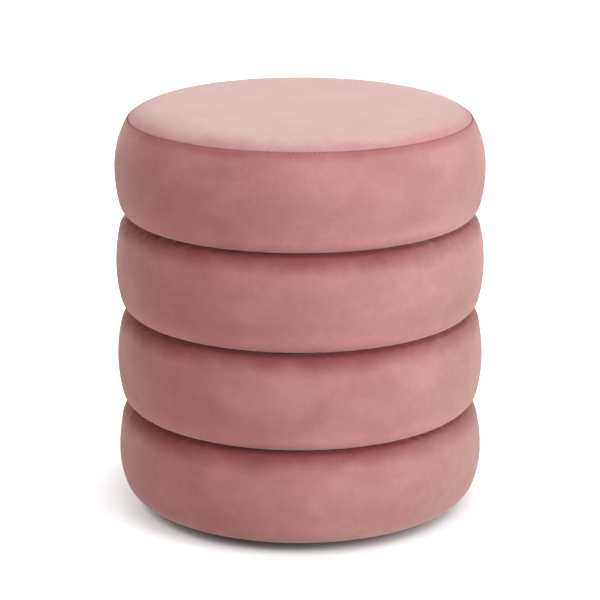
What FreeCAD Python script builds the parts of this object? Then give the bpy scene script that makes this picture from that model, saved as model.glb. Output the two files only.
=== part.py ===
"""A round velvet ottoman of four stacked tiers, as an assembly of its separate pieces.

Each of the three lower tiers is a plywood frame of two rings and four posts inside a fibreboard wrap. A foam strip
goes round the wrap, wadding fills it out to a soft roll, and a velvet sleeve covers the roll, with its hems drawn
over the rings and stapled. The seat is a foam block on a plywood board, under a velvet cover of a top panel sewn to
a side band. The tiers are screwed together from inside, closed below by a dust cover and stood on glides.

Units are millimetres. +Z is up, and the origin is on the floor, on the ottoman's axis.
"""

import FreeCAD
import Part
import Sketcher

import math
import os

# Driving dimensions: lengths in millimetres, angles in degrees.
SIZES = {
    "outer_radius": 200,
    "tier_height": 105.6,
    # outline of a tier: a round lip above and below, and a side that swells a little more between them
    "lip_radius": 18.9,
    "base_lip_radius": 29.7,
    "side_swell": 4.1,
    # outline of the seat above its widest height
    "seam_inset": 14.7,
    "seam_rise": 53.1,
    "seam_slope": 36.7,
    "shoulder_radius": 68.8,
    "dome_radius": 2500,
    # velvet, and the foam that the wadding covers
    "velvet_thickness": 2,
    "hem_width": 45,
    "foam_thickness": 20,
    "foam_margin": 14,
    "seat_foam_rise": 5.5,
    "seat_foam_bevel": 18,
    # frame
    "frame_setback": 1.3,
    "wrap_thickness": 3,
    "ring_width": 52,
    "ring_thickness": 9,
    "board_thickness": 15,
    "post_side": 28,
    # screws
    "screw_radius": 2,
    "screw_head_radius": 4,
    "screw_head_height": 2.4,
    "screw_tip_length": 3,
    "frame_screw_bite": 31,
    "tier_screw_bite": 7,
    "seat_screw_bite": 12,
    "glide_screw_bite": 7,
    # staples
    "staple_crown": 10,
    "staple_leg": 8,
    "staple_wire": 0.8,
    "staple_edge": 8,
    # underside
    "dust_cover_thickness": 0.8,
    "dust_cover_margin": 5,
    "glide_height": 8,
    "glide_top_radius": 15,
    "glide_foot_radius": 12,
    "glide_foot_rise": 1.2,
    "glide_bore_clearance": 0.3,
    "glide_recess_depth": 4,
    "glide_recess_clearance": 0.5,
}

# Counts round the axis.
POSTS = 4
TIER_SCREWS = 4
GLIDES = 4
HEM_STAPLES = 24
DUST_STAPLES = 16

# The tiers under the seat, from the floor up, with the size that says how far each one's fixing screws bite.
TIERS = {
    "lower_tier": "dims.tier_screw_bite",
    "middle_tier": "dims.tier_screw_bite",
    "upper_tier": "dims.seat_screw_bite",
}

# Radii, as formulas on the sheet's cells.
OUTER = "dims.outer_radius"
CREVICE = f"({OUTER} - dims.lip_radius - dims.side_swell)"
BASE_FLAT = f"({OUTER} - dims.base_lip_radius - dims.side_swell)"
SEAM = f"({OUTER} - dims.seam_inset)"
FRAME = f"({BASE_FLAT} - dims.frame_setback)"
FOAM_FACE = f"({FRAME} + dims.foam_thickness)"
RING_OUTER = f"({FRAME} - dims.wrap_thickness)"
RING_INNER = f"({RING_OUTER} - dims.ring_width)"
FIXINGS = f"({RING_OUTER} - dims.ring_width / 2)"
HEM_EDGE = f"({FRAME} - dims.hem_width)"
HEM_STAPLE_LINE = f"({HEM_EDGE} + dims.staple_edge)"
DUST_EDGE = f"({FRAME} - dims.dust_cover_margin)"
DUST_STAPLE_LINE = f"({DUST_EDGE} - dims.staple_edge)"
AXIS = "0"

# Depths under the outer surface at which the velvet and the wadding start.
SURFACE = "0"
UNDER_VELVET = "dims.velvet_thickness"

# Heights.
BASE_PLANE = "(dims.glide_height + dims.dust_cover_thickness)"


def level(tiers_below):
    """Height of the plane on which a tier rests."""
    return f"({BASE_PLANE} + {tiers_below} * dims.tier_height)"


SEAT_BASE = level(len(TIERS))
SEAT_MIDDLE = f"({SEAT_BASE} + dims.tier_height / 2)"
SEAM_HEIGHT = f"({SEAT_MIDDLE} + dims.seam_rise)"
BOARD_BASE = f"({SEAT_BASE} + dims.velvet_thickness)"
BOARD_TOP = f"({BOARD_BASE} + dims.board_thickness)"
SEAT_FOAM_TOP = f"({SEAM_HEIGHT} + dims.seat_foam_rise)"

# Centres of the two arcs that meet at the seam: the seat's upper side and the shoulder of its top panel.
UPPER_SIDE_CENTRE = f"({OUTER} - (dims.seam_inset ^ 2 + dims.seam_rise ^ 2) / (2 * dims.seam_inset))"
SHOULDER_CENTRE_ACROSS = f"({SEAM} - dims.shoulder_radius * sin(dims.seam_slope))"
SHOULDER_CENTRE_UP = f"({SEAM_HEIGHT} - dims.shoulder_radius * cos(dims.seam_slope))"

UP = FreeCAD.Vector(0, 0, 1)

doc = FreeCAD.newDocument("ottoman")
sheet = doc.addObject("Spreadsheet::Sheet", "dims")
for row, (alias, number) in enumerate(SIZES.items(), start=1):
    sheet.set(f"A{row}", alias)
    sheet.set(f"B{row}", str(number))
    sheet.setAlias(f"B{row}", alias)
doc.recompute()

# Every finished piece, under its node's name.
nodes = {}


def value(formula):
    """The number that a formula on the sheet's cells comes to."""
    return float(sheet.evalExpression(formula))


# Sketches

ORIGIN = (-1, 1)
V_AXIS = -2
START, END, CENTRE = 1, 2, 3


def new_sketch(body, name, plane, height=None):
    """A sketch on one of the body's origin planes, raised along its normal where a height is given."""
    sketch = body.newObject("Sketcher::SketchObject", name)
    support = next(f for f in body.Origin.OriginFeatures if f.Role == plane)
    sketch.AttachmentSupport = (support, [""])
    sketch.MapMode = "FlatFace"
    if height is not None:
        sketch.setExpression("AttachmentOffset.Base.z", height)
    return sketch


def line(sketch, start, end):
    ends = (FreeCAD.Vector(*start, 0), FreeCAD.Vector(*end, 0))
    return sketch.addGeometry(Part.LineSegment(*ends), False)


def arc(sketch, centre, radius, start_angle, end_angle):
    circle = Part.Circle(FreeCAD.Vector(*centre, 0), UP, radius)
    return sketch.addGeometry(Part.ArcOfCircle(circle, start_angle, end_angle), False)


def relate(sketch, kind, *where):
    sketch.addConstraint(Sketcher.Constraint(kind, *where))


def size(sketch, kind, where, name, formula):
    """A dimension of the sketch, bound to the sheet."""
    index = sketch.addConstraint(Sketcher.Constraint(kind, *where, value(formula)))
    sketch.renameConstraint(index, name)
    sketch.setExpression(f"Constraints.{name}", formula)


def place(sketch, edge, vertex, name, across=None, up=None):
    """Dimensions a vertex of an edge from the sketch's origin."""
    if across is not None:
        size(sketch, "DistanceX", (*ORIGIN, edge, vertex), f"{name}_across", across)
    if up is not None:
        size(sketch, "DistanceY", (*ORIGIN, edge, vertex), f"{name}_up", up)


def close_loop(sketch, edges, smooth=()):
    """Joins each edge's end to the next one's start, tangent where the edge's number is listed."""
    for n, edge in enumerate(edges):
        kind = "Tangent" if n in smooth else "Coincident"
        relate(sketch, kind, edge, END, edges[(n + 1) % len(edges)], START)


def draw_corners(sketch, corners):
    """A closed section of straight edges, each corner dimensioned as (across, up)."""
    places = [(value(across), value(up)) for across, up in corners]
    edges = [line(sketch, here, there) for here, there in zip(places, places[1:] + places[:1])]
    close_loop(sketch, edges)
    for n, (across, up) in enumerate(corners):
        place(sketch, edges[n], START, f"corner_{n}", across, up)


def draw_rectangle(sketch, inner, outer, low, high):
    draw_corners(sketch, [(inner, low), (outer, low), (outer, high), (inner, high)])


def side_arc(flat_end, lip):
    """Of the side's arc that runs into a lip: its centre's radius, its own radius and the angle where they meet."""
    half_height = value("dims.tier_height") / 2
    depth = value(f"{OUTER} - {flat_end}")
    round_lip = value(lip)
    radius = (depth**2 + half_height**2 - 2 * half_height * round_lip) / (2 * (depth - round_lip))
    return value(OUTER) - radius, radius, math.atan2(half_height - round_lip, radius - depth)


def draw_lower_half(sketch, base, inset, inner, flat_end, lip):
    """Floor, lower lip and lower side of a tier's section, an inset under the tier's surface."""
    depth, flat = value(inset), value(flat_end)
    centre, radius, angle = side_arc(flat_end, lip)
    bottom, middle = value(f"{base} + {inset}"), value(f"{base} + dims.tier_height / 2")
    round_lip = value(lip) - depth
    floor = line(sketch, (value(inner), bottom), (flat, bottom))
    low_lip = arc(sketch, (flat, bottom + round_lip), round_lip, -math.pi / 2, -angle)
    low_side = arc(sketch, (centre, middle), radius - depth, -angle, 0)
    relate(sketch, "Horizontal", floor)
    relate(sketch, "Horizontal", low_side, CENTRE, low_side, END)
    place(sketch, floor, START, "inner", inner, f"{base} + {inset}")
    place(sketch, floor, END, "low_flat", flat_end)
    place(sketch, low_side, END, "widest", f"{OUTER} - {inset}", f"{base} + dims.tier_height / 2")
    size(sketch, "Radius", (low_lip,), "low_lip", f"{lip} - {inset}")
    return floor, low_lip, low_side


def draw_tier(sketch, base, inset, inner, flat_end, lip):
    """The closed section of a tier's roll, an inset under its surface, from an inner radius out."""
    lower_half = draw_lower_half(sketch, base, inset, inner, flat_end, lip)
    depth, flat = value(inset), value(CREVICE)
    centre, radius, angle = side_arc(CREVICE, "dims.lip_radius")
    bottom, top = value(f"{base} + {inset}"), value(f"{base} + dims.tier_height - {inset}")
    middle, round_lip = (bottom + top) / 2, value("dims.lip_radius") - depth
    high_side = arc(sketch, (centre, middle), radius - depth, 0, angle)
    high_lip = arc(sketch, (flat, top - round_lip), round_lip, angle, math.pi / 2)
    roof = line(sketch, (flat, top), (value(inner), top))
    inside = line(sketch, (value(inner), top), (value(inner), bottom))
    close_loop(sketch, (*lower_half, high_side, high_lip, roof, inside), smooth=(0, 1, 2, 3, 4))
    relate(sketch, "Horizontal", roof)
    relate(sketch, "Vertical", inside)
    place(sketch, roof, START, "high_flat", CREVICE, f"{base} + dims.tier_height - {inset}")
    size(sketch, "Radius", (high_lip,), "high_lip", f"dims.lip_radius - {inset}")


def draw_upper_side(sketch, inset, rise):
    """The seat's side above its widest height, an inset under its surface, to a rise over the seat's middle."""
    centre = value(UPPER_SIDE_CENTRE)
    radius = value(f"{OUTER} - {UPPER_SIDE_CENTRE} - {inset}")
    side = arc(sketch, (centre, value(SEAT_MIDDLE)), radius, 0, math.asin(value(rise) / radius))
    place(sketch, side, CENTRE, "upper_side_centre", UPPER_SIDE_CENTRE)
    return side


def draw_top(sketch, inset, height):
    """Shoulder and dome of the seat's top, an inset under its surface, from a height on the shoulder to the axis."""
    depth = value(inset)
    across, up = value(SHOULDER_CENTRE_ACROSS), value(SHOULDER_CENTRE_UP)
    shoulder_radius, dome_radius = value("dims.shoulder_radius"), value("dims.dome_radius")
    handover = math.acos(across / (dome_radius - shoulder_radius))
    dome_centre = up - (dome_radius - shoulder_radius) * math.sin(handover)
    begin = math.asin((value(height) - up) / (shoulder_radius - depth))
    shoulder = arc(sketch, (across, up), shoulder_radius - depth, begin, handover)
    dome = arc(sketch, (0, dome_centre), dome_radius - depth, handover, math.pi / 2)
    relate(sketch, "PointOnObject", dome, CENTRE, V_AXIS)
    place(sketch, shoulder, CENTRE, "shoulder_centre", SHOULDER_CENTRE_ACROSS, SHOULDER_CENTRE_UP)
    size(sketch, "Radius", (shoulder,), "shoulder", f"dims.shoulder_radius - {inset}")
    size(sketch, "Radius", (dome,), "dome", f"dims.dome_radius - {inset}")
    return shoulder, dome


def draw_seat(sketch, inset):
    """The closed section of the whole seat, an inset under its surface."""
    lower_half = draw_lower_half(sketch, SEAT_BASE, inset, AXIS, CREVICE, "dims.lip_radius")
    upper_side = draw_upper_side(sketch, inset, "dims.seam_rise")
    top = draw_top(sketch, inset, SEAM_HEIGHT)
    middle_line = line(sketch, (0, value(SEAM_HEIGHT)), (0, value(SEAT_BASE)))
    close_loop(sketch, (*lower_half, upper_side, *top, middle_line), smooth=(0, 1, 2, 4))
    relate(sketch, "Vertical", middle_line)


def draw_band(sketch, inset, inner, rise):
    """The closed section of the seat up to a rise over its middle, from an inner radius out."""
    lower_half = draw_lower_half(sketch, SEAT_BASE, inset, inner, CREVICE, "dims.lip_radius")
    upper_side = draw_upper_side(sketch, inset, rise)
    top = value(f"{SEAT_MIDDLE} + {rise}")
    roof = line(sketch, (value(SEAM), top), (value(inner), top))
    inside = line(sketch, (value(inner), top), (value(inner), value(SEAT_BASE)))
    close_loop(sketch, (*lower_half, upper_side, roof, inside), smooth=(0, 1, 2))
    relate(sketch, "Horizontal", roof)
    relate(sketch, "Vertical", inside)
    place(sketch, roof, START, "band_top", up=f"{SEAT_MIDDLE} + {rise}")


def draw_panel(sketch, inset, height):
    """The closed section of the seat above a height."""
    top = draw_top(sketch, inset, height)
    middle_line = line(sketch, (0, value(SEAT_FOAM_TOP)), (0, value(height)))
    floor = line(sketch, (0, value(height)), (value(SEAM), value(height)))
    close_loop(sketch, (floor, *top, middle_line), smooth=(1,))
    relate(sketch, "Horizontal", floor)
    relate(sketch, "Vertical", middle_line)
    relate(sketch, "PointOnObject", floor, START, V_AXIS)
    place(sketch, floor, START, "panel_base", up=height)


def draw_seat_foam(sketch):
    """The closed section of the seat's foam block, bevelled round its top edge."""
    bevel_base = f"{SEAT_FOAM_TOP} - dims.seat_foam_bevel"
    corners = [
        (AXIS, BOARD_TOP),
        (FOAM_FACE, BOARD_TOP),
        (FOAM_FACE, bevel_base),
        (f"{FOAM_FACE} - dims.seat_foam_bevel", SEAT_FOAM_TOP),
        (AXIS, SEAT_FOAM_TOP),
    ]
    draw_corners(sketch, corners)


def draw_glide(sketch):
    """A glide's section: a tapered puck on a narrower foot, bored for its screw, whose head is sunk in the foot."""
    bore = "dims.screw_radius + dims.glide_bore_clearance"
    recess = "dims.screw_head_radius + dims.glide_recess_clearance"
    foot_edge = "dims.glide_foot_radius + dims.glide_foot_rise"
    corners = [
        (recess, "0"),
        ("dims.glide_foot_radius", "0"),
        (foot_edge, "dims.glide_foot_rise"),
        ("dims.glide_top_radius", "dims.glide_height"),
        (bore, "dims.glide_height"),
        (bore, "dims.glide_recess_depth"),
        (recess, "dims.glide_recess_depth"),
    ]
    draw_corners(sketch, corners)


# Pieces


def new_body(label):
    body = doc.addObject("PartDesign::Body", label)
    body.Label = label
    return body


def turn(body, kind, name, draw, *arguments):
    """Revolves a section round the axis: Revolution adds it to the body, Groove cuts it away."""
    sketch = new_sketch(body, f"{name}_section", "XZ_Plane")
    draw(sketch, *arguments)
    feature = body.newObject(f"PartDesign::{kind}", name)
    feature.Profile = sketch
    feature.ReferenceAxis = (sketch, ["V_Axis"])
    feature.Angle = 360
    body.Tip = feature


def disc(label, height, thickness, radius, bore=None):
    """A flat disc, or a ring where it has a bore, padded up from a height."""
    body = new_body(label)
    sketch = new_sketch(body, f"{label}_outline", "XY_Plane", height)
    for name, formula in (("rim", radius), ("bore", bore)):
        if formula is not None:
            circle = Part.Circle(FreeCAD.Vector(0, 0, 0), UP, value(formula))
            edge = sketch.addGeometry(circle, False)
            relate(sketch, "Coincident", edge, CENTRE, *ORIGIN)
            size(sketch, "Radius", (edge,), name, formula)
    pad = body.newObject("PartDesign::Pad", f"{label}_pad")
    pad.Profile = sketch
    pad.setExpression("Length", thickness)
    body.Tip = pad
    return body


def keep(label, piece, fasteners=()):
    """Files a piece under its node's name, with the room that its fasteners take cut out of it."""
    if fasteners:
        tool = doc.addObject("Part::Compound", f"{label}_fasteners")
        tool.Links = fasteners
        blank = piece
        blank.Label = f"{label}_blank"
        piece = doc.addObject("Part::Cut", label)
        piece.Base = blank
        piece.Tool = tool
    piece.Label = label
    nodes[label] = piece


# Fasteners, each kind a node of separate solids


def round_places(radius, count, first=0.0):
    """Places on a circle round the axis, each turned to face outwards. first counts in steps of their spacing."""
    for n in range(count):
        turned = FreeCAD.Rotation(UP, 360 * (n + first) / count)
        yield FreeCAD.Placement(turned.multVec(FreeCAD.Vector(value(radius), 0, 0)), turned)


def fasteners(label, shapes, places):
    """A node that holds a copy of each shape at each place."""
    group = doc.addObject("Part::Feature", label)
    matrices = [where.toMatrix() for where in places]
    group.Shape = Part.makeCompound([shape.transformed(m) for m in matrices for shape in shapes])
    keep(label, group)
    return group


def driven(shape, height, down=False):
    """A fastener that points up from the axis's foot, moved to a height, and turned over if it is driven down."""
    shape = shape.copy()
    if down:
        shape.rotate(FreeCAD.Vector(0, 0, 0), FreeCAD.Vector(1, 0, 0), 180)
    shape.translate(UP * value(height))
    return shape


def screw(length, sunk):
    """A wood screw that points up, with a sunk head's top face, or the seat under a flat head, at height 0."""
    radius, head = value("dims.screw_radius"), value("dims.screw_head_radius")
    head_height, tip = value("dims.screw_head_height"), value("dims.screw_tip_length")
    shank_length = value(length) - tip
    shank = Part.makeCylinder(radius, shank_length)
    tip_cone = Part.makeCone(radius, 0, tip, UP * shank_length)
    if sunk:
        head_solid = Part.makeCone(head, radius, head_height)
    else:
        head_solid = Part.makeCylinder(head, head_height, UP * -head_height)
    return shank.fuse([tip_cone, head_solid]).removeSplitter()


def staple():
    """A staple that points up, with its crown's outer face at height 0 and its crown along Y."""
    crown, leg, wire = value("dims.staple_crown"), value("dims.staple_leg"), value("dims.staple_wire")
    back = Part.makeBox(wire, crown, wire, FreeCAD.Vector(-wire / 2, -crown / 2, 0))
    leg_starts = (-crown / 2, crown / 2 - wire)
    legs = [Part.makeBox(wire, wire, leg, FreeCAD.Vector(-wire / 2, y, 0)) for y in leg_starts]
    return back.fuse(legs).removeSplitter()


def hem_staples(label, shapes):
    return fasteners(label, shapes, round_places(HEM_STAPLE_LINE, HEM_STAPLES, first=0.5))


def fixing_screws(tier, plane, bite):
    """Screws up through a tier's top ring and the two hems that meet on a plane, into the frame above."""
    seat = f"({plane} - dims.velvet_thickness - dims.ring_thickness)"
    length = f"dims.ring_thickness + 2 * dims.velvet_thickness + {bite}"
    one = driven(screw(length, sunk=False), seat)
    return fasteners(f"{tier}_fixing_screws", [one], round_places(FIXINGS, TIER_SCREWS, first=0.5))


# Underside

glide_screw_length = (
    f"{BASE_PLANE} - dims.glide_recess_depth + dims.velvet_thickness + dims.glide_screw_bite"
)
glide_screws = fasteners(
    "glide_screws",
    [driven(screw(glide_screw_length, sunk=False), "dims.glide_recess_depth")],
    round_places(FIXINGS, GLIDES, first=0.5),
)
dust_cover_staples = fasteners(
    "dust_cover_staples",
    [driven(staple(), "dims.glide_height - dims.staple_wire")],
    round_places(DUST_STAPLE_LINE, DUST_STAPLES, first=0.5),
)
for n, where in enumerate(round_places(FIXINGS, GLIDES, first=0.5), start=1):
    glide = new_body(f"glide_{n}")
    turn(glide, "Revolution", f"glide_{n}_puck", draw_glide)
    glide.Placement = where
    keep(f"glide_{n}", glide)

dust_cover = disc("dust_cover", "dims.glide_height", "dims.dust_cover_thickness", DUST_EDGE)
keep("dust_cover", dust_cover, [glide_screws, dust_cover_staples])

# Tiers under the seat

from_below = [glide_screws, dust_cover_staples]
low_outline = (BASE_FLAT, "dims.base_lip_radius")

for n, (tier, bite) in enumerate(TIERS.items()):
    base, top = level(n), level(n + 1)
    frame_base, frame_top = f"({base} + dims.velvet_thickness)", f"({top} - dims.velvet_thickness)"
    post_base = f"({frame_base} + dims.ring_thickness)"
    top_ring_base = f"({frame_top} - dims.ring_thickness)"
    foam_strip = (FRAME, FOAM_FACE, f"{base} + dims.foam_margin", f"{top} - dims.foam_margin")

    staples = hem_staples(f"{tier}_hem_staples", [driven(staple(), base), driven(staple(), top, down=True)])
    frame_screw = screw("dims.ring_thickness + dims.frame_screw_bite", sunk=True)
    frame_screws = fasteners(
        f"{tier}_frame_screws",
        [driven(frame_screw, frame_base), driven(frame_screw, frame_top, down=True)],
        round_places(FIXINGS, POSTS),
    )
    from_above = fixing_screws(tier, top, bite)

    cover = new_body(f"{tier}_cover")
    turn(cover, "Revolution", f"{tier}_roll", draw_tier, base, SURFACE, HEM_EDGE, *low_outline)
    turn(cover, "Groove", f"{tier}_lining", draw_tier, base, UNDER_VELVET, RING_INNER, *low_outline)
    keep(f"{tier}_cover", cover, [staples, from_above, *from_below])

    wadding = new_body(f"{tier}_wadding")
    turn(wadding, "Revolution", f"{tier}_fill", draw_tier, base, UNDER_VELVET, FRAME, *low_outline)
    turn(wadding, "Groove", f"{tier}_fill_recess", draw_rectangle, *foam_strip)
    keep(f"{tier}_wadding", wadding)

    foam = new_body(f"{tier}_foam")
    turn(foam, "Revolution", f"{tier}_foam_strip", draw_rectangle, *foam_strip)
    keep(f"{tier}_foam", foam)

    wrap = disc(f"{tier}_wrap", frame_base, f"{frame_top} - {frame_base}", FRAME, RING_OUTER)
    keep(f"{tier}_wrap", wrap)

    bottom_ring = disc(f"{tier}_bottom_ring", frame_base, "dims.ring_thickness", RING_OUTER, RING_INNER)
    keep(f"{tier}_bottom_ring", bottom_ring, [staples, frame_screws, *from_below])
    top_ring = disc(f"{tier}_top_ring", top_ring_base, "dims.ring_thickness", RING_OUTER, RING_INNER)
    keep(f"{tier}_top_ring", top_ring, [staples, frame_screws, from_above])

    corner = FreeCAD.Vector(
        value(f"{FIXINGS} - dims.post_side / 2"),
        value("-dims.post_side / 2"),
        value(post_base),
    )
    for i in range(POSTS):
        label = f"{tier}_post_{i + 1}"
        post = doc.addObject("Part::Box", label)
        post.setExpression("Length", "dims.post_side")
        post.setExpression("Width", "dims.post_side")
        post.setExpression("Height", f"{top_ring_base} - {post_base}")
        turned = FreeCAD.Rotation(UP, 360 * i / POSTS)
        post.Placement = FreeCAD.Placement(turned.multVec(corner), turned)
        keep(label, post, [frame_screws])

    from_below = [from_above]
    low_outline = (CREVICE, "dims.lip_radius")

# Seat

seat_staples = hem_staples("seat_hem_staples", [driven(staple(), SEAT_BASE)])

seat_board = disc("seat_board", BOARD_BASE, "dims.board_thickness", FRAME)
keep("seat_board", seat_board, [seat_staples, *from_below])

seat_foam = new_body("seat_foam")
turn(seat_foam, "Revolution", "seat_block", draw_seat_foam)
keep("seat_foam", seat_foam)

seat_wadding = new_body("seat_wadding")
turn(seat_wadding, "Revolution", "seat_fill", draw_seat, UNDER_VELVET)
turn(seat_wadding, "Groove", "seat_fill_recess", draw_seat_foam)
turn(seat_wadding, "Groove", "seat_board_recess", draw_rectangle, AXIS, FRAME, SEAT_BASE, BOARD_TOP)
keep("seat_wadding", seat_wadding)

seat_side_band = new_body("seat_side_band")
lining_rise = "(dims.seam_rise + dims.velvet_thickness)"
turn(seat_side_band, "Revolution", "seat_band", draw_band, SURFACE, HEM_EDGE, "dims.seam_rise")
turn(seat_side_band, "Groove", "seat_band_lining", draw_band, UNDER_VELVET, RING_INNER, lining_rise)
keep("seat_side_band", seat_side_band, [seat_staples, *from_below])

seat_top_panel = new_body("seat_top_panel")
lining_base = f"({SEAM_HEIGHT} - dims.velvet_thickness)"
turn(seat_top_panel, "Revolution", "seat_panel", draw_panel, SURFACE, SEAM_HEIGHT)
turn(seat_top_panel, "Groove", "seat_panel_lining", draw_panel, UNDER_VELVET, lining_base)
keep("seat_top_panel", seat_top_panel)

# Soundness of every object, then one file for each piece

doc.recompute()
for obj in doc.Objects:
    if "Invalid" in obj.State or "Error" in obj.State:
        raise RuntimeError(f"{obj.Label} failed: {obj.State}")
    if obj.isDerivedFrom("PartDesign::Groove") and obj.Shape.Volume >= obj.BaseFeature.Shape.Volume:
        raise RuntimeError(f"{obj.Label} cut nothing")
for label, piece in nodes.items():
    if piece.Shape.isNull() or not piece.Shape.isValid() or not piece.Shape.Solids:
        raise RuntimeError(f"{label} has no sound solid")

os.makedirs("parts", exist_ok=True)
for label, piece in nodes.items():
    piece.Shape.exportStep(f"parts/{label}.step")
print(f"{len(nodes)} pieces")
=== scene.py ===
"""The looks of the velvet ottoman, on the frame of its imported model.

The velvet covers are cut as sleeves and panels and settled by cloth simulation. The padding, the dust
cover and the seam's thread are modelled here too. The timber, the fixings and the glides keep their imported
shapes and get their materials. Everything is in metres, with +Z up and the origin on the floor, on the
ottoman's axis.
"""

import math

import bpy
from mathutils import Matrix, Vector, noise


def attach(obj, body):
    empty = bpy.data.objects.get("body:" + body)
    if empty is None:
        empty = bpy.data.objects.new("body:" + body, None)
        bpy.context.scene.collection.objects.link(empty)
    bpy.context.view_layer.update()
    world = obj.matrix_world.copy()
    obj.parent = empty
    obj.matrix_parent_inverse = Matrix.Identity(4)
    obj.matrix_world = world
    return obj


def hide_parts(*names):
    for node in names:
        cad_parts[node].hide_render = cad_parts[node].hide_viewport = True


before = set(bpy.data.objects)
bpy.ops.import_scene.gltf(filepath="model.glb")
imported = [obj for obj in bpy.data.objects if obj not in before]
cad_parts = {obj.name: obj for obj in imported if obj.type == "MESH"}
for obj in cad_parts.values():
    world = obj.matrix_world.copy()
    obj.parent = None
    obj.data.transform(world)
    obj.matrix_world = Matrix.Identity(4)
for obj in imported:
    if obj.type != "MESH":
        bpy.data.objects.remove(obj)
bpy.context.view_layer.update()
scene = bpy.context.scene

# Outline of the covers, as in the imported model.
OUTER = 0.200
TIER = 0.1056
LIP = 0.0189
BASE_LIP = 0.0297
SWELL = 0.0041
BASE_PLANE = 0.0088
HEM_EDGE = 0.1199
FRAME_RADIUS = 0.1649
FOAM_FACE = 0.1849
FOAM_MARGIN = 0.014
SEAM_RADIUS = 0.1853
SEAM_RISE = 0.0531
SEAM_SLOPE = math.radians(36.7)
SHOULDER = 0.0688
DOME = 2.5
VELVET = 0.002
SEAT_BASE = BASE_PLANE + 3 * TIER
SEAT_MIDDLE = SEAT_BASE + TIER / 2
SEAM_HEIGHT = SEAT_MIDDLE + SEAM_RISE
BOARD_THICKNESS = 0.015
BOARD_TOP = SEAT_BASE + VELVET + BOARD_THICKNESS
FOAM_OVER_SEAM = 0.0055
SEAT_FOAM_TOP = SEAM_HEIGHT + FOAM_OVER_SEAM
DUST_RADIUS = 0.1599
DUST_TOP = BASE_PLANE
DUST_THICKNESS = 0.0008
TIERS = [("lower_tier", BASE_LIP), ("middle_tier", LIP), ("upper_tier", LIP)]

BACK = math.pi / 2
COLUMNS = 480
CLOTH_FRAMES = 10


def smooth(low, high, x):
    """0 below low, 1 above high, and an S curve between them."""
    t = min(1.0, max(0.0, (x - low) / (high - low)))
    return t * t * (3 - 2 * t)


# Outlines

def arc(centre, radius, start, end, count):
    """Points along an arc, angles in radians, with both ends."""
    steps = [start + (end - start) * i / count for i in range(count + 1)]
    return [(centre[0] + radius * math.cos(a), centre[1] + radius * math.sin(a)) for a in steps]


def run(start, end, count):
    """Points along a straight line, with both ends."""
    return [tuple(p + (q - p) * i / count for p, q in zip(start, end)) for i in range(count + 1)]


def joined(*parts):
    """One outline out of parts that meet end to end."""
    points = list(parts[0])
    for part in parts[1:]:
        points.extend(part[1:])
    return points


def half_side(lip):
    """Side arc of a tier, tangent to a lip: radius of its centre, its own radius and the lip's angle."""
    rise = TIER / 2 - lip
    radius = (lip * lip - rise * rise - (lip + SWELL) ** 2) / (-2 * SWELL)
    return OUTER - radius, radius, math.atan2(rise, radius - lip - SWELL)


def lower_half(base, lip, inner):
    """Outline from a hem's inner edge out along the flat, round the lip and up to the widest height."""
    centre, radius, angle = half_side(lip)
    flat = OUTER - lip - SWELL
    return joined(
        run((inner, base), (flat, base), 8),
        arc((flat, base + lip), lip, -math.pi / 2, -angle, 14),
        arc((centre, base + TIER / 2), radius, -angle, 0, 10),
    )


def tier_outline(base, lip):
    """Outline of a whole tier, from the lower hem's edge to the upper one's."""
    lower = lower_half(base, lip, HEM_EDGE)
    upper = [(r, 2 * base + TIER - z) for r, z in reversed(lower_half(base, LIP, HEM_EDGE))]
    return joined(lower, upper)


def band_outline():
    """Outline of the seat's side band, from its hem under the board up to the seam."""
    centre = OUTER - ((OUTER - SEAM_RADIUS) ** 2 + SEAM_RISE**2) / (2 * (OUTER - SEAM_RADIUS))
    angle = math.asin(SEAM_RISE / (OUTER - centre))
    side = arc((centre, SEAT_MIDDLE), OUTER - centre, 0, angle, 24)
    return joined(lower_half(SEAT_BASE, LIP, HEM_EDGE), side)


def panel_outline():
    """Outline of the seat's top panel, from the seam in to the axis."""
    across = SEAM_RADIUS - SHOULDER * math.sin(SEAM_SLOPE)
    up = SEAM_HEIGHT - SHOULDER * math.cos(SEAM_SLOPE)
    depth = math.sqrt((DOME - SHOULDER) ** 2 - across**2)
    turn = math.atan2(depth, across)
    shoulder = arc((across, up), SHOULDER, math.pi / 2 - SEAM_SLOPE, turn, 22)
    crown = arc((0, up - depth), DOME, turn, math.pi / 2, 30)
    return joined(shoulder, crown)


def inset(points, depth):
    """An outline moved inwards, to the left of its direction."""
    moved = []
    for i, (r, z) in enumerate(points):
        before, after = points[max(0, i - 1)], points[min(len(points) - 1, i + 1)]
        along = Vector((after[0] - before[0], after[1] - before[1])).normalized()
        moved.append((r - along.y * depth, z + along.x * depth))
    return moved


# Meshes

def new_object(name, verts, faces, material):
    """A smooth mesh object in the scene, with one material."""
    mesh = bpy.data.meshes.new(name)
    mesh.from_pydata([tuple(v) for v in verts], [], faces)
    mesh.update()
    for polygon in mesh.polygons:
        polygon.use_smooth = True
    mesh.materials.append(material)
    piece = bpy.data.objects.new(name, mesh)
    scene.collection.objects.link(piece)
    return piece


def angles(count):
    """Directions round the axis, evenly spaced, starting at the back."""
    return [BACK + 2 * math.pi * i / count for i in range(count)]


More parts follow.
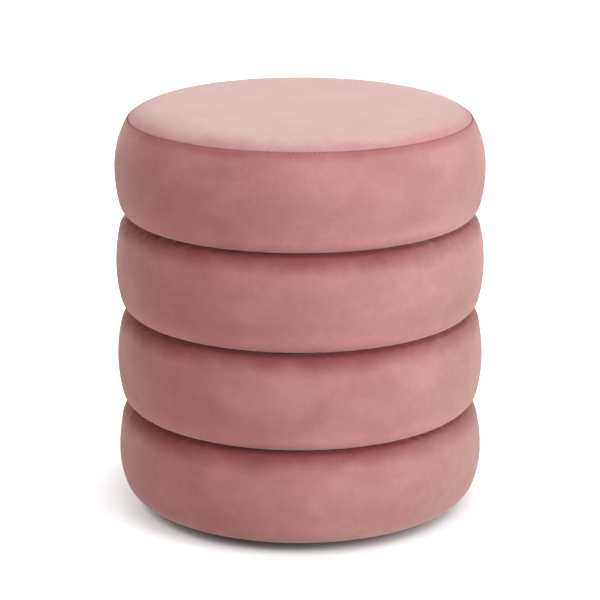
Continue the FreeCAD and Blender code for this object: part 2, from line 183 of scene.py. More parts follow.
def lathe(name, outline, material, around, closed=False):
    """A surface turned about the axis. An outline that ends on the axis gets one point there."""
    to_axis = outline[-1][0] < 1e-6
    rows = outline[:-1] if to_axis else outline
    verts = [(r * math.cos(a), r * math.sin(a), z) for r, z in rows for a in around]
    count = len(around)
    pairs = [(k, k + 1) for k in range(len(rows) - 1)]
    if closed:
        pairs.append((len(rows) - 1, 0))
    faces = []
    for low, high in pairs:
        for i in range(count):
            j = (i + 1) % count
            faces.append((low * count + i, low * count + j, high * count + j, high * count + i))
    if to_axis:
        verts.append((0, 0, outline[-1][1]))
        last = (len(rows) - 1) * count
        faces.extend((last + i, last + (i + 1) % count, len(verts) - 1) for i in range(count))
    return new_object(name, verts, faces, material)


def thicken(piece, thickness):
    """Gives a sheet its thickness, inwards from the face that shows."""
    solid = piece.modifiers.new("Thickness", "SOLIDIFY")
    solid.thickness = thickness
    solid.offset = -1


# Materials

def new_material(name):
    """A material with a Principled shader, and its node tree and shader."""
    material = bpy.data.materials.new(name)
    material.use_nodes = True
    tree = material.node_tree
    return material, tree, tree.nodes["Principled BSDF"]


def texture(tree, kind, coordinates, **values):
    """A procedural texture on the object's own coordinates."""
    node = tree.nodes.new(kind)
    for key, value in values.items():
        node.inputs[key].default_value = value
    tree.links.new(coordinates, node.inputs["Vector"])
    return node


def own_coordinates(tree, scale=(1, 1, 1)):
    """Object coordinates, stretched by a scale along each axis."""
    place = tree.nodes.new("ShaderNodeTexCoord")
    mapping = tree.nodes.new("ShaderNodeMapping")
    mapping.inputs["Scale"].default_value = scale
    tree.links.new(place.outputs["Object"], mapping.inputs["Vector"])
    return mapping.outputs["Vector"]


def ramp(tree, source, stops):
    """Colours picked by a texture's value: stops of (position, (r, g, b))."""
    node = tree.nodes.new("ShaderNodeValToRGB")
    elements = node.color_ramp.elements
    while len(elements) < len(stops):
        elements.new(0.5)
    for element, (position, colour) in zip(elements, stops):
        element.position = position
        element.color = (*colour, 1)
    tree.links.new(source, node.inputs["Fac"])
    return node.outputs["Color"]


def multiplied(tree, first, second):
    """Two colours multiplied."""
    node = tree.nodes.new("ShaderNodeMix")
    node.data_type = "RGBA"
    node.blend_type = "MULTIPLY"
    factor, one, two = node.inputs[0], node.inputs[6], node.inputs[7]
    factor.default_value = 1.0
    tree.links.new(first, one)
    tree.links.new(second, two)
    return node.outputs[2]


def bumped(tree, shader, source, strength, distance):
    """Fine relief from a texture's value."""
    node = tree.nodes.new("ShaderNodeBump")
    node.inputs["Strength"].default_value = strength
    node.inputs["Distance"].default_value = distance
    tree.links.new(source, node.inputs["Height"])
    tree.links.new(node.outputs["Normal"], shader.inputs["Normal"])


def number(tree, kind, first, second=0):
    """A sum on two numbers, each fixed or from another node."""
    node = tree.nodes.new("ShaderNodeMath")
    node.operation = kind
    for socket, value in zip(node.inputs, (first, second)):
        if isinstance(value, (int, float)):
            socket.default_value = value
        else:
            tree.links.new(value, socket)
    return node.outputs["Value"]


def faded(tree, source, low, high):
    """0 where a number is at low, 1 where it is at high, and an S curve between them."""
    node = tree.nodes.new("ShaderNodeMapRange")
    node.interpolation_type = "SMOOTHSTEP"
    node.inputs["From Min"].default_value = low
    node.inputs["From Max"].default_value = high
    tree.links.new(source, node.inputs["Value"])
    return node.outputs["Result"]


WHITE = (1.0, 1.0, 1.0)

# Painted light and shade on the velvet, as shares of its colour: painted shade at the left, a painted sheen
# at the right and on the lower lips, crushed pile and painted shade under each crease, and painted shade in
# the creases and along the seam
LEFT_PAINTED_SHADE = (0.97, 0.86, 0.86)
RIGHT_PAINTED_SHEEN = (1.01, 1.12, 1.12)
UNDER_CREASE_CRUSH_AND_SHADE = (0.61, 0.37, 0.39)
CREASE_PAINTED_SHADE = (0.80, 0.40, 0.38)
LIP_PAINTED_SHEEN = (1.17, 1.14, 1.14)
SEAM_PAINTED_SHADE = (0.84, 0.64, 0.67)
PILE_STOPS = [(0.30, (0.90, 0.88, 0.88)), (0.70, WHITE)]


def painted_light_zones(tree):
    """Zones of painted light and shade on the velvet, with their tones: at the sides, the creases and the
    seam. Under each crease the zone is crushed pile too.
    """
    place = tree.nodes.new("ShaderNodeTexCoord")
    parts = tree.nodes.new("ShaderNodeSeparateXYZ")
    tree.links.new(place.outputs["Object"], parts.inputs["Vector"])
    height = parts.outputs["Z"]
    uneven = texture(tree, "ShaderNodeTexNoise", own_coordinates(tree), Scale=27, Detail=2, Distortion=0.4)
    sway = number(tree, "SUBTRACT", uneven.outputs["Fac"], 0.5)

    # Crushed pile and painted shade under each crease, painted shade in it and a painted sheen on the lip
    # over it, by the share of a tier's height
    share = number(tree, "FRACT", number(tree, "DIVIDE", number(tree, "SUBTRACT", height, BASE_PLANE), TIER))
    ragged = number(tree, "ADD", share, number(tree, "MULTIPLY", sway, 0.14))
    over_foot = number(tree, "GREATER_THAN", height, BASE_PLANE + TIER / 2)
    creased = number(tree, "MULTIPLY", over_foot, number(tree, "LESS_THAN", height, SEAT_MIDDLE))
    under_seat = number(tree, "LESS_THAN", height, SEAT_BASE)
    # The top of each roll, under the roll above: crushed pile and painted shade
    below = number(tree, "MULTIPLY", faded(tree, ragged, 0.77, 0.98), under_seat)
    off_middle = number(tree, "ABSOLUTE", number(tree, "SUBTRACT", share, 0.5))
    # Painted shade deep in each crease
    crease_shade = number(tree, "MULTIPLY", faded(tree, off_middle, 0.460, 0.495), creased)
    # Painted sheen on the lower lip of each roll over a crease
    lip = number(tree, "MULTIPLY", faded(tree, share, 0.30, 0.08), creased)

    # Painted shade along the seam, by the height over or under it
    off_seam = number(tree, "ABSOLUTE", number(tree, "SUBTRACT", height, SEAM_HEIGHT))
    seam = faded(tree, number(tree, "ADD", off_seam, number(tree, "MULTIPLY", sway, 0.010)), 0.011, 0.001)

    # Painted shade at the left and a painted sheen at the right, where the light falls. The crushed pile and
    # painted shade under a crease are weaker at the right, on the lit side.
    sides = number(tree, "LESS_THAN", height, SEAM_HEIGHT)
    along = number(tree, "ADD", parts.outputs["X"], number(tree, "MULTIPLY", sway, 0.06))
    off_edge = number(tree, "MULTIPLY", faded(tree, along, -0.185, -0.14), sides)
    left = number(tree, "MULTIPLY", faded(tree, along, 0.06, -0.11), off_edge)
    right = number(tree, "MULTIPLY", faded(tree, along, 0.05, 0.16), sides)
    lit_side_relief = number(tree, "SUBTRACT", 1, number(tree, "MULTIPLY", right, 0.35))
    return [
        (left, LEFT_PAINTED_SHADE),
        (right, RIGHT_PAINTED_SHEEN),
        (number(tree, "MULTIPLY", below, lit_side_relief), UNDER_CREASE_CRUSH_AND_SHADE),
        (crease_shade, CREASE_PAINTED_SHADE),
        (lip, LIP_PAINTED_SHEEN),
        (seam, SEAM_PAINTED_SHADE),
    ]


def make_velvet(name, dark, light, sheen):
    """Short pile, brushed into soft patches, with pale sheen where the pile is seen from the side."""
    material, tree, shader = new_material(name)
    patches = texture(
        tree, "ShaderNodeTexNoise", own_coordinates(tree, (1, 1, 1.6)),
        Scale=15, Detail=3, Roughness=0.5, Distortion=0.4,
    )
    strokes = texture(
        tree, "ShaderNodeTexNoise", own_coordinates(tree, (1, 1, 0.8)),
        Scale=80, Detail=5, Roughness=0.7, Distortion=1.0,
    )
    pile = texture(tree, "ShaderNodeTexNoise", own_coordinates(tree), Scale=1500, Detail=2, Roughness=0.6)
    ground = ramp(tree, patches.outputs["Fac"], [(0.32, dark), (0.68, light)])
    brushed = ramp(tree, strokes.outputs["Fac"], PILE_STOPS)
    grain = ramp(tree, pile.outputs["Fac"], PILE_STOPS)
    colour = multiplied(tree, multiplied(tree, ground, brushed), grain)
    # Painted light and shade, and the crushed pile under the creases, multiplied into the colour zone by
    # zone
    for zone, tone in painted_light_zones(tree):
        colour = multiplied(tree, colour, ramp(tree, zone, [(0.0, WHITE), (1.0, tone)]))
    tree.links.new(colour, shader.inputs["Base Color"])
    shader.inputs["Roughness"].default_value = 0.95
    shader.inputs["Specular IOR Level"].default_value = 0.1
    shader.inputs["Sheen Weight"].default_value = sheen
    shader.inputs["Sheen Roughness"].default_value = 0.45
    shader.inputs["Sheen Tint"].default_value = (1.0, 0.72, 0.69, 1)
    bumped(tree, shader, pile.outputs["Fac"], 0.35, 0.0006)
    return material


def make_wadding():
    """Matted white polyester fibres."""
    material, tree, shader = new_material("wadding")
    clumps = texture(tree, "ShaderNodeTexNoise", own_coordinates(tree), Scale=60, Detail=5, Roughness=0.65)
    fibres = texture(
        tree, "ShaderNodeTexNoise", own_coordinates(tree, (1, 1, 6)), Scale=400, Detail=3, Distortion=2,
    )
    colour = ramp(tree, clumps.outputs["Fac"], [(0.3, (0.68, 0.67, 0.64)), (0.7, (0.82, 0.81, 0.79))])
    tree.links.new(colour, shader.inputs["Base Color"])
    shader.inputs["Roughness"].default_value = 1.0
    shader.inputs["Sheen Weight"].default_value = 0.3
    bumped(tree, shader, fibres.outputs["Fac"], 0.6, 0.001)
    return material


def make_foam():
    """Open-celled cream upholstery foam."""
    material, tree, shader = new_material("foam")
    cells = texture(tree, "ShaderNodeTexVoronoi", own_coordinates(tree), Scale=900)
    tone = texture(tree, "ShaderNodeTexNoise", own_coordinates(tree), Scale=25, Detail=3)
    colour = ramp(tree, tone.outputs["Fac"], [(0.3, (0.72, 0.62, 0.42)), (0.7, (0.80, 0.71, 0.52))])
    tree.links.new(colour, shader.inputs["Base Color"])
    shader.inputs["Roughness"].default_value = 0.95
    bumped(tree, shader, cells.outputs["Distance"], 0.5, 0.0008)
    return material


def make_wood(name, dark, light, scale, ring_count):
    """Sawn timber with grain along one axis."""
    material, tree, shader = new_material(name)
    grain = texture(
        tree, "ShaderNodeTexNoise", own_coordinates(tree, scale), Scale=ring_count, Detail=5, Roughness=0.6,
        Distortion=0.5,
    )
    pores = texture(tree, "ShaderNodeTexNoise", own_coordinates(tree, scale), Scale=ring_count * 9, Detail=2)
    colour = ramp(tree, grain.outputs["Fac"], [(0.35, dark), (0.65, light)])
    tree.links.new(colour, shader.inputs["Base Color"])
    roughness = ramp(tree, pores.outputs["Fac"], [(0.3, (0.55, 0.55, 0.55)), (0.7, (0.8, 0.8, 0.8))])
    tree.links.new(roughness, shader.inputs["Roughness"])
    bumped(tree, shader, pores.outputs["Fac"], 0.3, 0.0004)
    return material


def make_steel():
    """Zinc-plated steel, a little dull."""
    material, tree, shader = new_material("steel")
    wear = texture(tree, "ShaderNodeTexNoise", own_coordinates(tree), Scale=350, Detail=3)
    colour = ramp(tree, wear.outputs["Fac"], [(0.3, (0.50, 0.51, 0.52)), (0.7, (0.64, 0.64, 0.63))])
    tree.links.new(colour, shader.inputs["Base Color"])
    roughness = ramp(tree, wear.outputs["Fac"], [(0.3, (0.25, 0.25, 0.25)), (0.7, (0.45, 0.45, 0.45))])
    tree.links.new(roughness, shader.inputs["Roughness"])
    shader.inputs["Metallic"].default_value = 1.0
    return material


def make_plastic():
    """Moulded black plastic with a fine matt grain and pale scuffs."""
    material, tree, shader = new_material("glide_plastic")
    scuffs = texture(tree, "ShaderNodeTexNoise", own_coordinates(tree), Scale=160, Detail=6, Roughness=0.7)
    grain = texture(tree, "ShaderNodeTexNoise", own_coordinates(tree), Scale=2200, Detail=1)
    colour = ramp(tree, scuffs.outputs["Fac"], [(0.45, (0.018, 0.018, 0.019)), (0.8, (0.06, 0.06, 0.06))])
    tree.links.new(colour, shader.inputs["Base Color"])
    roughness = ramp(tree, scuffs.outputs["Fac"], [(0.4, (0.42, 0.42, 0.42)), (0.75, (0.65, 0.65, 0.65))])
    tree.links.new(roughness, shader.inputs["Roughness"])
    bumped(tree, shader, grain.outputs["Fac"], 0.2, 0.0002)
    return material


def make_dust_fabric():
    """Black spun-bonded fabric with its grid of weld points."""
    material, tree, shader = new_material("dust_fabric")
    points = texture(tree, "ShaderNodeTexVoronoi", own_coordinates(tree), Scale=700)
    points.inputs["Randomness"].default_value = 0.15
    fibres = texture(tree, "ShaderNodeTexNoise", own_coordinates(tree), Scale=900, Detail=4, Distortion=1.5)
    colour = ramp(tree, fibres.outputs["Fac"], [(0.3, (0.012, 0.012, 0.013)), (0.7, (0.045, 0.045, 0.047))])
    tree.links.new(colour, shader.inputs["Base Color"])
    shader.inputs["Roughness"].default_value = 0.85
    bumped(tree, shader, points.outputs["Distance"], 0.5, 0.0005)
    return material


def make_thread():
    """Twisted sewing thread, a shade deeper than the velvet."""
    material, tree, shader = new_material("thread")
    twist = texture(tree, "ShaderNodeTexNoise", own_coordinates(tree), Scale=1200, Detail=2)
    colour = ramp(tree, twist.outputs["Fac"], [(0.3, (0.17, 0.045, 0.045)), (0.7, (0.27, 0.085, 0.082))])
    tree.links.new(colour, shader.inputs["Base Color"])
    shader.inputs["Roughness"].default_value = 0.6
    return material


velvet = make_velvet("velvet", (0.408, 0.190, 0.177), (0.478, 0.240, 0.224), 0.5)
# The top panel's velvet is paler: partly its pile laid flat, partly a painted sheen where the light falls on
# the top
flat_pile_and_sheen_velvet = make_velvet("velvet_laid_flat", (0.585, 0.390, 0.374), (0.625, 0.432, 0.414), 0.5)
wadding = make_wadding()
foam = make_foam()
steel = make_steel()
plastic = make_plastic()
dust_fabric = make_dust_fabric()
thread = make_thread()
plywood = make_wood("plywood", (0.47, 0.32, 0.19), (0.66, 0.49, 0.32), (1, 0.12, 9), 60)
pine = make_wood("pine", (0.55, 0.36, 0.18), (0.75, 0.56, 0.34), (1, 1, 0.06), 130)
hardboard = make_wood("hardboard", (0.20, 0.115, 0.06), (0.29, 0.18, 0.10), (1, 1, 1), 220)


# Cloth

CREASE_PASSES = 2

# Spare cloth as shares of its size, and the direction in radians where most of it is drawn in
MOST_SPARE = 0.1
CREASE_GATHER = 0.05
LIP_GATHER = 0.002
GATHERED = -0.75
GATHER_SPREAD = 0.4

# Pressure of the padding, how far the cloth may move, and the unevenness that starts its creases
SLEEVE_PRESSURE = 10
SLEEVE_LIMIT = 0.0026
SEAT_PRESSURE = 5
SEAT_LIMIT = 0.0015
UNEVENNESS = 0.00015
UNEVEN_SCALE = 140

BACK_SEAM_DEPTH = 0.0014
BACK_SEAM_EDGE = 0.0003


def settle(piece, held, spare, pressure, limit):
    """Lets a cover settle over its padding by cloth simulation, and keeps the result in its mesh.

    held gives each vertex's share of pinning, and spare the share by which the cloth was cut larger there
    than the form it covers, so that it gathers. The velvet is too thick to keep the finest creases, so the
    movement of each vertex is evened out with its neighbours round the axis, and stays under limit.
    """
    mesh = piece.data
    before = [v.co.copy() for v in mesh.vertices]
    normals = [v.normal.copy() for v in mesh.vertices]
    for vertex, place, normal in zip(mesh.vertices, before, normals):
        vertex.co = place + normal * UNEVENNESS * noise.noise(place * UNEVEN_SCALE)
    pins = piece.vertex_groups.new(name="held")
    snug = piece.vertex_groups.new(name="snug")
    for index, (pin, extra) in enumerate(zip(held, spare)):
        if pin > 0:
            pins.add([index], pin, "REPLACE")
        snug.add([index], 1 - extra / MOST_SPARE, "REPLACE")
    cloth = piece.modifiers.new("Cloth", "CLOTH")
    settings = cloth.settings
    settings.quality = 4
    settings.mass = 0.004
    settings.tension_stiffness = 15
    settings.compression_stiffness = 15
    settings.shear_stiffness = 4
    settings.bending_stiffness = 3
    settings.vertex_group_mass = pins.name
    settings.vertex_group_shrink = snug.name
    settings.shrink_max = 0
    settings.shrink_min = -MOST_SPARE
    settings.use_pressure = True
    settings.uniform_pressure_force = pressure
    settings.effector_weights.gravity = 0
    cloth.collision_settings.use_collision = False
    cloth.point_cache.frame_start = 1
    cloth.point_cache.frame_end = CLOTH_FRAMES
    for moment in range(1, CLOTH_FRAMES + 1):
        scene.frame_set(moment)
    settled = piece.evaluated_get(bpy.context.evaluated_depsgraph_get())
    after = [v.co.copy() for v in settled.data.vertices]
    piece.modifiers.remove(cloth)
    piece.vertex_groups.clear()
    scene.frame_set(1)
    steps = [new - old for old, new in zip(before, after)]
    for _ in range(CREASE_PASSES):
        evened = []
        for k, step in enumerate(steps):
            left = steps[k - 1 if k % COLUMNS else k + COLUMNS - 1]
            right = steps[k + 1 if (k + 1) % COLUMNS else k + 1 - COLUMNS]
            evened.append((step * 2 + left + right) / 4)
        steps = evened
    for vertex, old, step in zip(mesh.vertices, before, steps):
        if step.length > 1e-9:
            step = step * (limit * math.tanh(step.length / limit) / step.length)
        vertex.co = old + step
    mesh.update()


def looseness(angle, seed):
    """Share of spare cloth drawn in at a direction round the axis, most at the right of the front."""
    x, y = 2.6 * math.cos(angle), 2.6 * math.sin(angle)
    coarse = noise.noise(Vector((x, y, 3.7 * seed)))
    fine = noise.noise(Vector((3 * x, 3 * y, 3.7 * seed + 40)))
    turned = (angle - GATHERED + math.pi) % (2 * math.pi) - math.pi
    drawn = math.exp(-((turned / GATHER_SPREAD) ** 2))
    return min(1.0, max(0.0, 0.25 + 0.8 * coarse + 0.5 * fine + 0.55 * drawn))


def close_at_back(piece):
    """Draws in the upright seam that closes a sleeve at the back, in the first column of its mesh."""
    vertices = piece.data.vertices
    for row in range(len(vertices) // COLUMNS):
        first = row * COLUMNS
        beside = [(first + 1, BACK_SEAM_EDGE), (first + COLUMNS - 1, BACK_SEAM_EDGE)]
        depths = [(first, BACK_SEAM_DEPTH)] + beside
        moves = [(index, vertices[index].normal.copy() * depth) for index, depth in depths]
        for index, move in moves:
            vertices[index].co = vertices[index].co - move
    piece.data.update()


def hem_hold(edge, r):
    """How firmly the hem holds the cloth at a radius: wholly inside the flat's edge, not at all outside."""
    return 1 - smooth(edge - 0.004, edge + 0.006, r)


def sew_tier(name, node, base, lip, seed):
    """The velvet sleeve of one of the lower tiers."""
    around = angles(COLUMNS)
    outline = tier_outline(base, lip)
    piece = lathe(name, outline, velvet, around)
    held, spare = [], []
    for r, z in outline:
        above = z > base + TIER / 2
        edge = OUTER - (LIP if above else lip) - SWELL
        gather = CREASE_GATHER if above else LIP_GATHER
        gather *= 1 - smooth(edge + 0.006, OUTER - 0.001, r)
        spare.extend(gather * looseness(a, seed + (5 if above else 0)) for a in around)
        held.extend([hem_hold(edge, r)] * COLUMNS)
    settle(piece, held, spare, SLEEVE_PRESSURE, SLEEVE_LIMIT)
    for vertex in piece.data.vertices:
        vertex.co.z = min(base + TIER, max(base, vertex.co.z))
    close_at_back(piece)
    thicken(piece, VELVET)
    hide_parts(node)
    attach(piece, "root")
    return piece


def cut_of(outline):
    """A cover's cut before it settles: its outline's length, and the area that it sweeps round the axis."""
    length, area = 0.0, 0.0
    for (r, z), (next_r, next_z) in zip(outline, outline[1:]):
        step = math.hypot(next_r - r, next_z - z)
        length += step
        area += math.pi * (r + next_r) * step
    return length, area


for n, (tier, lip) in enumerate(TIERS):
    sew_tier(f"{tier}_velvet", f"{tier}_cover", BASE_PLANE + n * TIER, lip, n + 1)


# Seat cover

SEAM_WIDTH = 0.0013
SEAM_DEPTH = 0.0013
SEAM_GATHER = 0.003
SEAM_GATHER_REACH = 0.012
SEAM_HOLD_REACH = 0.004
STILL_RADIUS = 0.11


def drawn_in(outline, seam_point):
    """An outline drawn inwards near the seam, where the stitching pulls the cloth into a narrow groove."""
    pulled = inset(outline, SEAM_DEPTH)
    result = []
    for (r, z), (r2, z2) in zip(outline, pulled):
        distance = math.hypot(r - seam_point[0], z - seam_point[1])
        share = math.exp(-((distance / SEAM_WIDTH) ** 2))
        result.append((r + (r2 - r) * share, z + (z2 - z) * share))
    return result


def near_seam(outline, from_end):
    """The outline with more points close to the seam, at its end or its start."""
    points = list(reversed(outline)) if from_end else list(outline)
    fine = []
    for p, q in zip(points, points[1:]):
        length = math.hypot(q[0] - p[0], q[1] - p[1])
        reach = math.hypot(p[0] - points[0][0], p[1] - points[0][1])
        count = 6 if reach < 0.002 else 3 if reach < 0.005 else 1
        fine.extend(run(p, q, count)[:-1] if length > 0 else [p])
    fine.append(points[-1])
    return list(reversed(fine)) if from_end else fine


def sew_seat():
    """The seat's side band and top panel, settled as one cover and then parted at the seam."""
    seam = (SEAM_RADIUS, SEAM_HEIGHT)
    band = drawn_in(near_seam(band_outline(), True), seam)
    panel = drawn_in(near_seam(panel_outline(), False), seam)
    middle = ((band[-1][0] + panel[0][0]) / 2, (band[-1][1] + panel[0][1]) / 2)
    band[-1] = panel[0] = middle
    around = angles(COLUMNS)
    count = len(around)
    worn = joined(band, panel)
    free = next(i for i, (r, z) in enumerate(worn) if z > SEAM_HEIGHT and r < STILL_RADIUS) + 1
    whole = lathe("seat_velvet", worn[:free], velvet, around)
    held, spare = [], []
    edge = OUTER - LIP - SWELL
    for row, (r, z) in enumerate(worn[:free]):
        below = z < SEAT_MIDDLE
        drawn = 1 - smooth(edge + 0.004, OUTER - 0.001, r) if below else 0.0
        distance = math.hypot(r - seam[0], z - seam[1])
        sewn = math.exp(-((distance / SEAM_GATHER_REACH) ** 2))
        stitched = math.exp(-((distance / SEAM_HOLD_REACH) ** 2))
        spare.extend(
            LIP_GATHER * drawn * looseness(a, 9) + SEAM_GATHER * sewn * looseness(a, 14) for a in around
        )
        hem = hem_hold(edge, r) if below else 0.0
        still = 1 - smooth(STILL_RADIUS, STILL_RADIUS + 0.05, r) if z > SEAM_HEIGHT else 0.0
        held.extend([1.0 if row == len(band) - 1 else max(hem, still, stitched)] * count)
    settle(whole, held, spare, SEAT_PRESSURE, SEAT_LIMIT)
    for vertex in whole.data.vertices:
        vertex.co.z = max(SEAT_BASE, vertex.co.z)
    places = [tuple(v.co) for v in whole.data.vertices]
    places.extend((r * math.cos(a), r * math.sin(a), z) for r, z in worn[free:-1] for a in around)
    places.append((0, 0, worn[-1][1]))
    bpy.data.objects.remove(whole)
    split = (len(band) - 1) * count

    def strip(bands):
        faces = []
        for low in range(0, bands * count, count):
            for i in range(count):
                j = (i + 1) % count
                faces.append((low + i, low + j, low + count + j, low + count + i))
        return faces

    rows = (len(places) - 1) // count
    side = new_object("seat_side_velvet", places[: split + count], strip(len(band) - 1), velvet)
    last = (rows - len(band)) * count
    cap_faces = strip(rows - len(band))
    cap_faces.extend((last + i, last + (i + 1) % count, last + count) for i in range(count))
    top = new_object("seat_top_velvet", places[split:], cap_faces, flat_pile_and_sheen_velvet)
    close_at_back(side)
    for piece, node in ((side, "seat_side_band"), (top, "seat_top_panel")):
        thicken(piece, VELVET)
        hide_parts(node)
        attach(piece, "root")
    return side, top, middle


side_velvet, top_velvet, seam_bottom = sew_seat()


# Stitches

STITCH_PITCH = 0.0043
STITCH_LENGTH = 0.0026
THREAD_RADIUS = 0.00033
THREAD_SIDES = 6
STITCH_LEAN = SEAM_SLOPE + 0.19
THREAD_LINE = 0.0006

# Share of a stitch's length, height over the seam and share of the thread's girth, from end to end.
STITCH_STATIONS = [
    (-0.5, 0.0, 0.5),
    (-0.3, 0.0008, 1.0),
    (0.0, 0.0011, 1.0),
    (0.3, 0.0008, 1.0),
    (0.5, 0.0, 0.5),
]


def sew_stitches():
    """Short stitches of thread along the seam's groove."""
    radius, height = seam_bottom
    count = round(2 * math.pi * (radius + THREAD_LINE) / STITCH_PITCH)
    verts, faces = [], []
    for n in range(count):
        a = 2 * math.pi * (n + 0.08 * noise.noise(Vector((n * 0.37, 1.5, 0)))) / count
        along = Vector((-math.sin(a), math.cos(a), 0))
        flat = math.sin(STITCH_LEAN)
        out = Vector((flat * math.cos(a), flat * math.sin(a), math.cos(STITCH_LEAN)))
        over = along.cross(out)
        centre = Vector((radius * math.cos(a), radius * math.sin(a), height))
        start = len(verts)
        for share, lift, girth in STITCH_STATIONS:
            middle = centre + along * STITCH_LENGTH * share + out * lift
            for k in range(THREAD_SIDES):
                b = 2 * math.pi * k / THREAD_SIDES
                verts.append(middle + (out * math.cos(b) + over * math.sin(b)) * THREAD_RADIUS * girth)
        last = len(verts) - THREAD_SIDES
        for low in range(start, last, THREAD_SIDES):
            high = low + THREAD_SIDES
            for k in range(THREAD_SIDES):
                m = (k + 1) % THREAD_SIDES
                faces.append((low + k, low + m, high + m, high + k))
        faces.append(tuple(start + k for k in reversed(range(THREAD_SIDES))))
        faces.append(tuple(last + k for k in range(THREAD_SIDES)))
    piece = new_object("seam_stitches", verts, faces, thread)
    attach(piece, "root")


sew_stitches()


# Padding

FOAM_GAP = 0.0003
WADDING_GAP = 0.0006
SLEEVE_INSET = 0.0056
SEAT_INSET = 0.0052
FOAM_CORNER = 0.003
SEAT_CORNER = 0.008
SEAT_BEVEL = 0.018
PAD_COLUMNS = 160
WADDING_EDGE = FRAME_RADIUS + WADDING_GAP


def pad(name, outline, material, nodes):
    """A ring or block of padding, from its closed outline."""
    piece = lathe(name, outline, material, angles(PAD_COLUMNS), closed=outline[-1][0] > 1e-6)
    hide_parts(*nodes)
    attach(piece, "root")
    return piece


def rounded_box(inner, outer, low, high, radius):
    """Closed outline of a strip with rounded outer corners, anticlockwise from its inner lower corner."""
    return joined(
        [(inner, low), (outer - radius, low)],
        arc((outer - radius, low + radius), radius, -math.pi / 2, 0, 5),
        arc((outer - radius, high - radius), radius, 0, math.pi / 2, 5),
        [(outer - radius, high), (inner, high)],
    )


def fill_tier(tier, base, lip):
    """The foam strip and the wadding of one of the lower tiers. Returns the wadding."""
    low, high = base + FOAM_MARGIN, base + TIER - FOAM_MARGIN
    strip = rounded_box(FRAME_RADIUS + FOAM_GAP, FOAM_FACE - FOAM_GAP, low, high, FOAM_CORNER)
    pad(f"{tier}_foam_strip", strip, foam, [f"{tier}_foam"])
    shell = [p for p in inset(tier_outline(base, lip), SLEEVE_INSET) if p[0] > WADDING_EDGE + 0.001]
    over, under = high + WADDING_GAP, low - WADDING_GAP
    inner = [(WADDING_EDGE, over), (FOAM_FACE, over), (FOAM_FACE, under), (WADDING_EDGE, under)]
    outline = [(WADDING_EDGE, shell[0][1])] + shell + [(WADDING_EDGE, shell[-1][1])] + inner
    return pad(f"{tier}_wadding_roll", outline, wadding, [f"{tier}_wadding"])


for n, (tier, lip) in enumerate(TIERS):
    fill_tier(tier, BASE_PLANE + n * TIER, lip)

foam_low, foam_high = BOARD_TOP + FOAM_GAP, SEAT_FOAM_TOP - FOAM_GAP


def seat_foam_outline():
    """Outline of the seat's foam block, with a rounded lower edge and a bevelled upper one."""
    side = FOAM_FACE - FOAM_GAP
    return joined(
        [(0.0, foam_low), (0.160, foam_low)],
        arc((side - SEAT_CORNER, foam_low + SEAT_CORNER), SEAT_CORNER, -math.pi / 2, 0, 5),
        [(side, foam_high - SEAT_BEVEL), (FOAM_FACE - SEAT_BEVEL, foam_high), (0.0, foam_high)],
    )[1:]


def seat_wadding_outline():
    """Outline of the seat's wadding: under the velvet, and back over the foam block."""
    skin = inset(joined(band_outline(), panel_outline()[:-1]), SEAT_INSET)
    side = [p for p in skin if p[0] > WADDING_EDGE + 0.001]
    roof = [p for p in skin if p[0] <= WADDING_EDGE + 0.001 and p[1] > SEAT_MIDDLE]
    face, over = FOAM_FACE + WADDING_GAP, foam_high + 2 * WADDING_GAP
    back = [(0.004, over), (FOAM_FACE - SEAT_BEVEL, over), (face, foam_high - SEAT_BEVEL)]
    foot = [(face, foam_low + 0.009), (WADDING_EDGE, foam_low)]
    return [(WADDING_EDGE, SEAT_BASE + SEAT_INSET)] + side + roof + back + foot


seat_foam = pad("seat_foam_block", seat_foam_outline(), foam, ["seat_foam"])
pad("seat_wadding_layer", seat_wadding_outline(), wadding, ["seat_wadding"])


# The dust cover

DUST_OPENING = 0.106
DUST_SAG = 0.0022
DUST_RIPPLE = 0.0010
DUST_RINGS = 48
DUST_COLUMNS = 192


def stretch_dust_cover():
    """Black fabric across the underside, slack enough to hang a little where no frame backs it."""
    radii = [DUST_RADIUS * i / DUST_RINGS for i in reversed(range(DUST_RINGS + 1))]
    outline = [(r, DUST_TOP - DUST_THICKNESS) for r in radii]
    piece = lathe("dust_cover_sheet", outline, dust_fabric, angles(DUST_COLUMNS))
    for vertex in piece.data.vertices:
        r = math.hypot(vertex.co.x, vertex.co.y)
        slack = 1 - smooth(0.0, DUST_OPENING, r)
        crease = noise.noise(Vector((vertex.co.x * 16, vertex.co.y * 16, 2.0)))
        vertex.co.z -= slack * (DUST_SAG + DUST_RIPPLE * crease)
    piece.data.update()
    thicken(piece, DUST_THICKNESS)
    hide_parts("dust_cover")
    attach(piece, "root")


stretch_dust_cover()


# Sheets of velvet

for n, (tier, lip) in enumerate(TIERS):
    width, area = cut_of(tier_outline(BASE_PLANE + n * TIER, lip))

width, area = cut_of(band_outline())

area = cut_of(panel_outline())[1]


# Carried-over nodes

FINISHES = {
    "_ring": plywood,
    "seat_board": plywood,
    "_post_": pine,
    "_wrap": hardboard,
    "_screws": steel,
    "_staples": steel,
    "glide_": plastic,
}

for name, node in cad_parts.items():
    finish = next((material for words, material in FINISHES.items() if words in name), None)
    if finish:
        for place in node.material_slots:
            place.material = finish


# Studio

FLOOR = 9.0
FLOOR_GREY = (0.68, 0.68, 0.68, 1)
FLOOR_GLOW = 0.4
CONTACT_SHADOW = 0.16
SURROUND_LIGHT = 0.30
CAMERA_PLACE = Vector((0, -2.5046, 0.9386))
CAMERA_TARGET = Vector((0, 0, 0.2256))
CAMERA_LENS = 142.5
SENSOR_WIDTH = 36


def seen_directly(tree):
    """1 for what the camera, a reflection or clear glass shows, and 0 for light on the ottoman."""
    path = tree.nodes.new("ShaderNodeLightPath")
    mirrored = number(tree, "MAXIMUM", path.outputs["Is Glossy Ray"], path.outputs["Is Transmission Ray"])
    return number(tree, "MAXIMUM", path.outputs["Is Camera Ray"], mirrored)


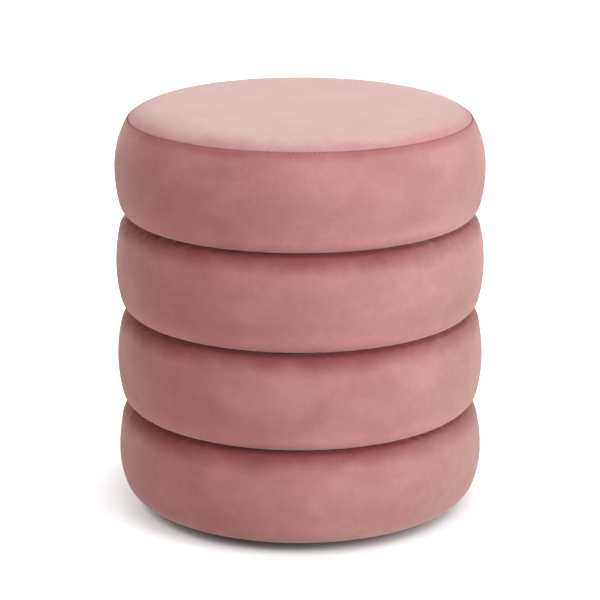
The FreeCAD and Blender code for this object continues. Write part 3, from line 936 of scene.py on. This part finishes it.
def make_floor():
    """A pale floor that is white to the camera and keeps the shadow at the ottoman's foot."""
    material, tree, shader = new_material("floor")
    shader.inputs["Base Color"].default_value = FLOOR_GREY
    shader.inputs["Roughness"].default_value = 0.9
    shader.inputs["Specular IOR Level"].default_value = 0.1
    shade = tree.nodes.new("ShaderNodeAmbientOcclusion")
    shade.inputs["Distance"].default_value = CONTACT_SHADOW
    shade.samples = 16
    place = tree.nodes.new("ShaderNodeTexCoord")
    reach = tree.nodes.new("ShaderNodeVectorMath")
    reach.operation = "LENGTH"
    tree.links.new(place.outputs["Object"], reach.inputs[0])
    far = number(tree, "MULTIPLY", faded(tree, reach.outputs["Value"], 0.17, 0.32), 1 - FLOOR_GLOW)
    glow = number(tree, "ADD", far, FLOOR_GLOW)
    level = number(tree, "MULTIPLY", faded(tree, shade.outputs["AO"], 0.12, 0.30), glow)
    strength = number(tree, "MULTIPLY", seen_directly(tree), level)
    shader.inputs["Emission Color"].default_value = (1, 1, 1, 1)
    tree.links.new(strength, shader.inputs["Emission Strength"])
    corners = [(-FLOOR, -FLOOR, 0), (FLOOR, -FLOOR, 0), (FLOOR, FLOOR, 0), (-FLOOR, FLOOR, 0)]
    new_object("floor", corners, [(0, 1, 2, 3)], material)


def make_world():
    """A white surround to the camera, and a dimmer one to the ottoman."""
    world = bpy.data.worlds.new("studio")
    scene.world = world
    world.use_nodes = True
    tree = world.node_tree
    back = tree.nodes["Background"]
    back.inputs["Color"].default_value = (1, 1, 1, 1)
    level = tree.nodes.new("ShaderNodeMapRange")
    level.inputs["To Min"].default_value = SURROUND_LIGHT
    level.inputs["To Max"].default_value = 1.0
    tree.links.new(seen_directly(tree), level.inputs["Value"])
    tree.links.new(level.outputs["Result"], back.inputs["Strength"])


def softbox(name, place, target, size, power, colour=(1, 1, 1)):
    """A square area lamp aimed at a point."""
    data = bpy.data.lights.new(name, "AREA")
    data.shape = "SQUARE"
    data.size = size
    data.energy = power
    data.color = colour
    lamp = bpy.data.objects.new(name, data)
    lamp.location = place
    lamp.rotation_euler = (Vector(target) - Vector(place)).to_track_quat("-Z", "Y").to_euler()
    scene.collection.objects.link(lamp)


make_floor()
make_world()
softbox("key", (2.3, -2.0, 1.4), (0, 0, 0.3), 1.5, 73)
softbox("front", (0.2, -3.0, 0.25), (0, 0, 0.2), 1.2, 15)
softbox("left", (-2.6, 0.1, 0.7), (0, 0, 0.2), 1.2, 18, (1, 0.84, 0.80))
softbox("top", (0.4, -0.7, 2.4), (0, 0, 0.3), 1.5, 30)
softbox("back", (-0.6, 2.9, 0.9), (0, 0, 0.2), 1.4, 26)

camera_data = bpy.data.cameras.new("camera")
camera_data.lens = CAMERA_LENS
camera_data.sensor_width = SENSOR_WIDTH
camera = bpy.data.objects.new("camera", camera_data)
camera.location = CAMERA_PLACE
camera.rotation_euler = (CAMERA_TARGET - CAMERA_PLACE).to_track_quat("-Z", "Y").to_euler()
scene.collection.objects.link(camera)
scene.camera = camera

scene.view_settings.view_transform = "Standard"
